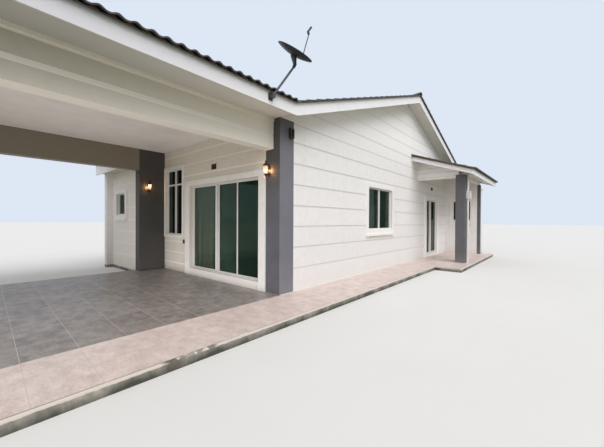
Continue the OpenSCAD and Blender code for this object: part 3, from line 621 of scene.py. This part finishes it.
points = roof_field.node("GeometryNodeMeshGrid", None,
                         {0: g["Pitch"] * (g["Rolls"] - 1.0), 1: g["Gauge"] * (g["Courses"] - 1.0),
                          2: g["Rolls"], 3: g["Courses"]})
turn = roof_field.node("FunctionNodeRandomValue", {"data_type": "FLOAT"},
                       {2: -0.006, 3: 0.006, "Seed": g["Seed"] + 5.0}, out=1)
roof_field.finish(roof_field.toned(roof_field.copies(points, one, Rotation=roof_field.vector(z=turn))))

house_w, house_d, pier_left, porch_d = 7.1, 12.06, -5.05, 6.0
ceiling_h, fascia_h, fascia_drop = 3.38, 0.224, 0.066
eave_out, rake_start, tile_out, tile_t = 0.42, 0.02, 0.05, 0.055
roof_pitch = math.radians(18.8)
slope = math.tan(roof_pitch)
north = Vector((0, math.cos(roof_pitch), math.sin(roof_pitch)))
south, west, east = (Vector((x * north.y, y * north.y, north.z)) for x, y in ((0, -1), (-1, 0), (1, 0)))
eave_z = floor_z + ceiling_h - fascia_drop + fascia_h
ridge_y = (house_d + eave_out + rake_start) / 2
ridge_z = eave_z + slope * (ridge_y - rake_start)
porch_left = pier_left - eave_out
porch_ridge_x = (eave_out + porch_left) / 2
porch_half = eave_out - porch_ridge_x
porch_ridge_z = eave_z + slope * porch_half
valley_y = rake_start + porch_half


def slope_of(name, start, along, upward, length, run, seed):
    """Tiles on one slope: start is its low corner, length runs along the eave and run up the slope."""
    normal = along.cross(upward)
    rolls, courses = max(2, round(length / roll_pitch)), max(2, round(run / gauge))
    width, step = length / rolls, run / courses
    middle = start + along * (length / 2) + upward * (run / 2) + normal * (deck_gap + shell / 2)
    leaning = Matrix((along, upward, normal)).transposed().to_4x4()
    tiles = roof_field.grow(name, Matrix.Translation(middle) @ leaning, Rolls=rolls, Courses=courses,
                            Pitch=width, Gauge=step, Seed=seed)
    corners = [start, start + along * length, start + along * length + upward * run, start + upward * run]
    return [tiles, plate(name + "_deck", corners, deck_t, roof_tile)]


low_y, high_y = -block_out - eave_out - tile_out, house_d + eave_out + tile_out
run_front, run_back = (ridge_y - low_y) / north.y, (high_y - ridge_y) / north.y
start_front = Vector((-house_w, low_y, ridge_z - slope * (ridge_y - low_y)))
main_w = house_w + eave_out + tile_out
start_back = Vector((-house_w + main_w, high_y, ridge_z - slope * (high_y - ridge_y)))
right_valley, left_valley = Vector((-1, -1, 0)).normalized(), Vector((1, -1, 0)).normalized()
apex, porch_edge = Vector((porch_ridge_x, valley_y, 0)), Vector((porch_left, 0, 0))
porch_middle = Vector((porch_ridge_x, 0, 0))
left_cut = [(porch_edge, X)]
mid_cut = [(porch_edge, -X), (porch_middle, X), (apex, left_valley)]
right_cut = [(porch_middle, -X), (apex, right_valley)]
main_parts = []
for number, cuts in enumerate((left_cut, mid_cut, right_cut)):
    for part in slope_of("front%d" % number, start_front, X, north, main_w, run_front, 7):
        main_parts.append(trimmed(part, *cuts))
main_parts += slope_of("back", start_back, -X, south, main_w, run_back, 8)
main_tiles = joined("main_tiles", main_parts)
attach(main_tiles, "root")
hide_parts("main_roof")

verge = -porch_d - eave_out - tile_out
porch_l = valley_y - verge
low_x = porch_half + tile_out
run_porch = low_x / north.y
low_z = porch_ridge_z - slope * low_x
start_east = Vector((porch_ridge_x + low_x, verge, low_z))
start_west = Vector((porch_ridge_x - low_x, valley_y, low_z))
porch_parts = []
for part in slope_of("east", start_east, Y, west, porch_l, run_porch, 9):
    porch_parts.append(trimmed(part, (apex, -right_valley)))
for part in slope_of("west", start_west, -Y, east, porch_l, run_porch, 10):
    porch_parts.append(trimmed(part, (apex, -left_valley)))
porch_tiles = joined("porch_tiles", porch_parts)
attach(porch_tiles, "root")
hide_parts("porch_roof")

side_roof_w, side_roof_run, side_roof_z, past_wing = 1.95, 4.25, 3.77, 0.225
side_w = side_roof_w + tile_out
side_start = Vector((side_w, wing_y - side_roof_run - tile_out, floor_z + side_roof_z - slope * side_w))
side_parts = slope_of("side", side_start, Y, west, side_roof_run + past_wing + tile_out, side_w / north.y, 11)
side_tiles = joined("side_porch_tiles", [trimmed(p, (Vector((0, 0, 0)), -X)) for p in side_parts])
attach(side_tiles, "root")
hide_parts("side_porch_roof")

# Ridge caps: half-round tiles of the same clay in one row on each ridge,
# each tapered to lap the next, on a bed of mortar.
cap_step, cap_lap, cap_sink, last_lap = 0.33, 0.05, 0.044, 0.15
cap_row = Grower("ridge_caps", Count=4, Step=cap_step, Lap=cap_lap, Radius=0.105, Thickness=0.013,
                 Taper=0.012, Seed=5, Material=roof_tile.material)
g = cap_row.given
cap_arc = math.pi * 0.86
size = cap_row.vector(g["Step"] + g["Lap"], g["Radius"] * cap_arc, g["Thickness"])
one = cap_row.node("GeometryNodeMeshCube", None, {0: size, 1: 2, 2: 15, 3: 2})
x, y, z = (cap_row.node("GeometryNodeInputPosition").part(axis) for axis in range(3))
angle = y / g["Radius"]
reach = g["Radius"] + z - (x / g["Step"] + 0.5) * g["Taper"]
bent = cap_row.vector(x, reach * angle.math("SINE"), reach * angle.math("COSINE"))
one = cap_row.node("GeometryNodeSetPosition", None, {"Geometry": one, "Position": bent})
points = cap_row.node("GeometryNodeMeshLine", None,
                      {"Count": g["Count"], "Offset": cap_row.vector(g["Step"])})
cap_row.finish(cap_row.toned(cap_row.copies(points, one)))


def capped(name, start, along, length, seed):
    """A row of caps from a start point on the ridge; the last one's lap takes its share of a step too."""
    count = round(length / cap_step)
    step = length / (count + last_lap)
    across = Matrix((along, Z.cross(along), Z)).transposed().to_4x4()
    first = Matrix.Translation(start + along * (step * 0.5 + cap_lap / 2))
    return cap_row.grow(name, first @ across, Count=count, Step=step, Lap=cap_lap, Seed=seed)


cap_z, past_valley = tile_t - cap_sink, 0.1
main_start = Vector((eave_out + tile_out, ridge_y, ridge_z + cap_z))
porch_start = Vector((porch_ridge_x, verge, porch_ridge_z + cap_z))
caps = joined("ridge_cap_row", [
    capped("c1", main_start, -X, main_w, 5),
    trimmed(capped("c2", porch_start, Y, porch_l + 0.12, 6), (Vector((0, valley_y + past_valley, 0)), Y))])
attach(caps, "root")
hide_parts("ridge_caps")

# Mortar: reddish cement packed by trowel into the hollow under each roll at the eaves,
# and along the side porch's verge.
mortar_mix = Finish("mortar", Roughness=0.95)
grit = mortar_mix.grain(45, 6)
mortar_mix.coat(mortar_mix.over(grit, 0.3, 0.7), "43362f", "66503f")
mortar_mix.tint(mortar_mix.over(mortar_mix.grain(5, 3), 0.5, 0.7), "3b3532")
mortar_mix.relief(grit, 0.004, 0.8)

plug_row = Grower("eave_mortar", Count=4, Pitch=roll_pitch, Width=0.12, Height=0.024, Depth=0.05,
                  Material=mortar_mix.material)
g = plug_row.given
one = plug_row.node("GeometryNodeMeshCube", None,
                    {0: plug_row.vector(g["Width"], g["Depth"], 1.0), 1: 7, 2: 2, 3: 2})
x, y, z = (plug_row.node("GeometryNodeInputPosition").part(axis) for axis in range(3))
arch = ((x / g["Width"] * (2.0 * math.pi)).math("COSINE") * 0.5 + 0.55) * g["Height"] * (z + 0.5)
one = plug_row.node("GeometryNodeSetPosition", None,
                    {"Geometry": one, "Position": plug_row.vector(x, y, arch)})
points = plug_row.node("GeometryNodeMeshLine", None,
                       {"Count": g["Count"], "Offset": plug_row.vector(g["Pitch"])})
plug_row.finish(plug_row.copies(points, one))
plug_in, plug_lift = 0.035, 0.006


def packed(name, start, along, upward, length):
    """Mortar under the rolls of one eave."""
    rolls = round(length / roll_pitch)
    width = length / rolls
    normal = along.cross(upward)
    middle = start + along * (width / 2) + upward * plug_in + normal * plug_lift
    leaning = Matrix((along, upward, normal)).transposed().to_4x4()
    return plug_row.grow(name, Matrix.Translation(middle) @ leaning, Count=rolls, Pitch=width)


porch_eave, side_eave = 6.4, 4.5
verge_line = [Vector((x, wing_y - side_roof_run - 0.03, floor_z + side_roof_z - slope * x + z))
              for x, z in ((side_w, 0.012), (0.001, 0.065), (0.001, -0.024), (side_w, -0.03))]
eave_mortar = joined("eave_mortar", [
    plate("side_verge", verge_line, 0.03, mortar_mix),
    packed("m1", start_east, Y, west, porch_eave),
    packed("m2", Vector((porch_ridge_x - low_x, 0, low_z)), -Y, east, porch_eave),
    packed("m3", start_front, X, north, house_w + porch_left),
    packed("m4", start_back, -X, south, main_w),
    packed("m5", side_start, Y, west, side_eave)])
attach(eave_mortar, "root")

# Window and door frames: white coated aluminium sections, screwed into the walls
# and round the panes of the sliding leaves.
frame_coat = Finish("frame_coat", Roughness=0.36)
soil = frame_coat.grain(6, 5)
frame_coat.coat(frame_coat.over(soil, 0.55, 0.8) * 0.4, "e4e4e2", "b9b8b2")
frame_coat.feed(Roughness=frame_coat.over(soil, 0.2, 0.8) * 0.2 + 0.28)
frame_coat.relief(frame_coat.grain(300, 2), 0.0004, 0.3)
frame_coat.put("window_frames", "door_frames", "fixed_lights", "front_leaf_frame", "side_leaf_frame")

# Glass: green-tinted float glass in the frames, clear enough to hint at the dim rooms behind.
# The front door's first pane has pale folds of light behind it, and the tall window is painted nearly
# black as the dark reflection in it.
glass = Finish("green_glass", Roughness=0.03, IOR=1.38, Alpha=0.66, Specular_Tint=(0.45, 0.9, 0.6, 1))
folds, film = glass.grain(17, 2, (1, 1, 0.02)), glass.grain(1.4, 4)
glass.coat(glass.over(film * 0.5 + folds * 0.5, 0.35, 0.65), "13211a", "22392d")
front_wall = (1, -0.1, 0.5)
first_pane = glass.between(0, -3.3, -2.2) * glass.between(*front_wall)
glass.tint(first_pane, glass.mix(glass.over(folds, 0.42, 0.58), "2e392d", "525d4c"))
middle_pane = glass.between(0, -2.2, -1.44) * glass.between(*front_wall)
glass.tint(middle_pane * 0.8, glass.mix(glass.over(film, 0.35, 0.65), "1c2f24", "38503f"))
# Painted reflection: the tall window is painted nearly black and less clear, for the dark things it reflects.
dark_reflection = glass.between(0, -5.0, -3.4) * glass.between(*front_wall)
glass.tint(dark_reflection, "070807")
glass.feed(Alpha=dark_reflection * 0.34 + 0.66)
glass.feed(Roughness=glass.over(glass.grain(5, 4), 0.35, 0.9) * 0.05 + 0.02)
glass.put("fixed_glass", "front_leaf_glass", "side_leaf_glass")

# Gaskets: black rubber strips pressed in round each pane, on both of its faces,
# that hold it in its frame.
gasket = Finish("gasket_rubber", Roughness=0.8)
gasket.coat(gasket.grain(40), "161616", "2a2a29")
gasket.relief(gasket.grain(90, 3), 0.0006, 0.4)


def panes_of(name):
    """The lowest and highest corner of each pane in a CAD node of glass."""
    bm = bmesh.new()
    bm.from_mesh(nodes[name].data)
    bmesh.ops.remove_doubles(bm, verts=bm.verts, dist=1e-5)
    left, found = set(bm.verts), []
    while left:
        todo, group = [left.pop()], []
        while todo:
            v = todo.pop()
            group.append(v)
            for e in v.link_edges:
                o = e.other_vert(v)
                if o in left:
                    left.discard(o)
                    todo.append(o)
        found.append([Vector([f(v.co[i] for v in group) for i in range(3)]) for f in (min, max)])
    bm.free()
    return found


def gaskets(name, node, body, wide=0.009, proud=0.003):
    """A thin ring round both faces of every pane of that node."""
    vertices, faces = [], []
    for low, high in panes_of(node):
        flat = 0 if high.x - low.x < 0.02 else 1
        across = 1 - flat
        for face, out in ((low[flat], -proud), (high[flat], proud)):
            for inner in (0, 1):
                for depth in (face, face + out):
                    for a, b in ((0, 0), (1, 0), (1, 1), (0, 1)):
                        p = Vector((0, 0, 0))
                        p[flat] = depth
                        p[across] = (low, high)[a][across] + (wide, -wide)[a] * inner
                        p[2] = (low, high)[b][2] + (wide, -wide)[b] * inner
                        vertices.append(p)
            first = len(vertices) - 16
            for i in range(4):
                j = (i + 1) % 4
                for quad in ((i, j, 8 + j, 8 + i), (4 + i, 4 + j, 12 + j, 12 + i), (i, j, 4 + j, 4 + i),
                             (8 + i, 8 + j, 12 + j, 12 + i)):
                    faces.append([first + q for q in quad])
    piece = plain(vertices, faces, name, gasket)
    bm = bmesh.new()
    bm.from_mesh(piece.data)
    bmesh.ops.recalc_face_normals(bm, faces=bm.faces)
    bm.to_mesh(piece.data)
    bm.free()
    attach(piece, body)


gaskets("fixed_gaskets", "fixed_glass", "root")
gaskets("front_leaf_gasket", "front_leaf_glass", "front_leaf")
gaskets("side_leaf_gasket", "side_leaf_glass", "side_leaf")

# The lanterns: black cast frames with frosted glass, lit warm from inside, bolted to the column and the
# pier. Each has a turned finial on its cap and a turned drop under its pan.
lamp_black = Finish("lamp_black", Roughness=0.45, Metallic=0.6)
lamp_black.coat(lamp_black.grain(80), "1b1a19", "35312c")
lamp_black.relief(lamp_black.grain(160, 3), 0.0008, 0.5)
lamp_black.put("wall_lamps")
lamp_glow = Finish("lamp_glow", Roughness=0.3, Emission_Strength=1.9)
warm = lamp_glow.between(2, 2.42, 2.53, 0.045) * lamp_glow.over(lamp_glow.grain(22, 3), 0.2, 0.5)
lamp_glow.coat(warm, "a5672f", "fff0d2")
lamp_glow.feed(Emission_Color=lamp_glow.mix(warm, "96602f", "ffe9c4"))
lamp_glow.put("lamp_glass")


def turned(name, centre, profile, sides=10):
    """A closed piece turned about an upright line; the profile is (radius, height) from the bottom up."""
    vertices, faces = [], []
    for radius, height in profile:
        for i in range(sides):
            a = 2 * math.pi * i / sides
            vertices.append(centre + Vector((radius * math.cos(a), radius * math.sin(a), height)))
    for ring in range(len(profile) - 1):
        for i in range(sides):
            j = (i + 1) % sides
            low, high = ring * sides, (ring + 1) * sides
            faces.append((low + i, low + j, high + j, high + i))
    faces += [tuple(range(sides))[::-1], tuple(range(len(vertices) - sides, len(vertices)))]
    return plain(vertices, faces, name, lamp_black)


finial = [(0.016, 0.0), (0.008, 0.006), (0.007, 0.014), (0.014, 0.021), (0.016, 0.029), (0.011, 0.038),
          (0.004, 0.05), (0.001, 0.058)]
drop = [(0.001, -0.045), (0.006, -0.038), (0.011, -0.028), (0.008, -0.016), (0.012, -0.008), (0.02, 0.004)]
cap_top, pan_foot = Z * 0.13, Z * -0.108
corner_lamp, pier_lamp = Vector((-0.294, -0.095, 2.5)), Vector((-4.683, -0.46, 2.435))
ends = []
for number, centre in enumerate((corner_lamp, pier_lamp)):
    ends.append(turned("f%d" % number, centre + cap_top, finial))
    ends.append(turned("d%d" % number, centre + pan_foot, drop))
lamp_ends = joined("lamp_ends", ends)
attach(lamp_ends, "root")
by_corner, by_pier = (-0.27, -0.034, 2.49), (-4.744, -0.48, 2.43)
for number, place in enumerate((by_corner, by_pier)):
    glow = light("lamp_light%d" % number, "POINT", 2.2, (1.0, 0.52, 0.2))
    glow.data.shadow_soft_size, glow.location, glow.visible_camera = 0.02, place, False

# The dish: pressed steel on a leaning tube, painted dark grey and dulled by weather,
# clamped to the porch's long fascia.
dish_paint = Finish("dish_paint", Roughness=0.42, Metallic=0.35)
spots = dish_paint.grain(24, 6)
dish_paint.coat(dish_paint.over(spots, 0.3, 0.7), "34363a", "54575c")
dish_paint.tint(dish_paint.over(dish_paint.grain(7, 6), 0.62, 0.75), "6a4a36")
dish_paint.relief(spots, 0.001, 0.5)
dish_paint.put("satellite_dish")

# The rainwater pipe and its hopper: white plastic, fixed behind the side porch column
# and chalked by the sun.
pipe_white = Finish("pipe_white", Roughness=0.48)
chalk = pipe_white.grain(8, 5, (1, 1, 0.3))
pipe_white.coat(pipe_white.over(chalk, 0.45, 0.8), "e3e2df", "c4c2bb")
pipe_white.relief(pipe_white.grain(90, 3), 0.0006, 0.4)
pipe_white.put("downpipe")

# Vent covers, switch box and service bracket: dark plastic and painted steel, screwed to the walls
# and the column. A dark plate behind each vent cover is painted shade, standing for the dark hole it hides.
fitting_dark = Finish("fitting_dark", Roughness=0.55)
mark = fitting_dark.grain(30, 5)
fitting_dark.coat(fitting_dark.over(mark, 0.3, 0.8), "131313", "272625")
fitting_dark.relief(mark, 0.0008, 0.5)
fitting_dark.put("wall_fittings")
vent_w, vent_h = 0.18, 0.122
front_vent, side_vent = Vector((-2.3, -0.001, 2.735)), Vector((0.001, 8.84, 2.805))
# Painted shade: a dark plate behind each vent cover.
shade_plates = [plate(name, [low, low + wide * vent_w, low + wide * vent_w + Z * vent_h, low + Z * vent_h], 0.003,
               fitting_dark)
         for name, low, wide in (("v1", front_vent, X), ("v2", side_vent, Y))]
vent_shade_plates = joined("vent_shade_plates", shade_plates)
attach(vent_shade_plates, "root")
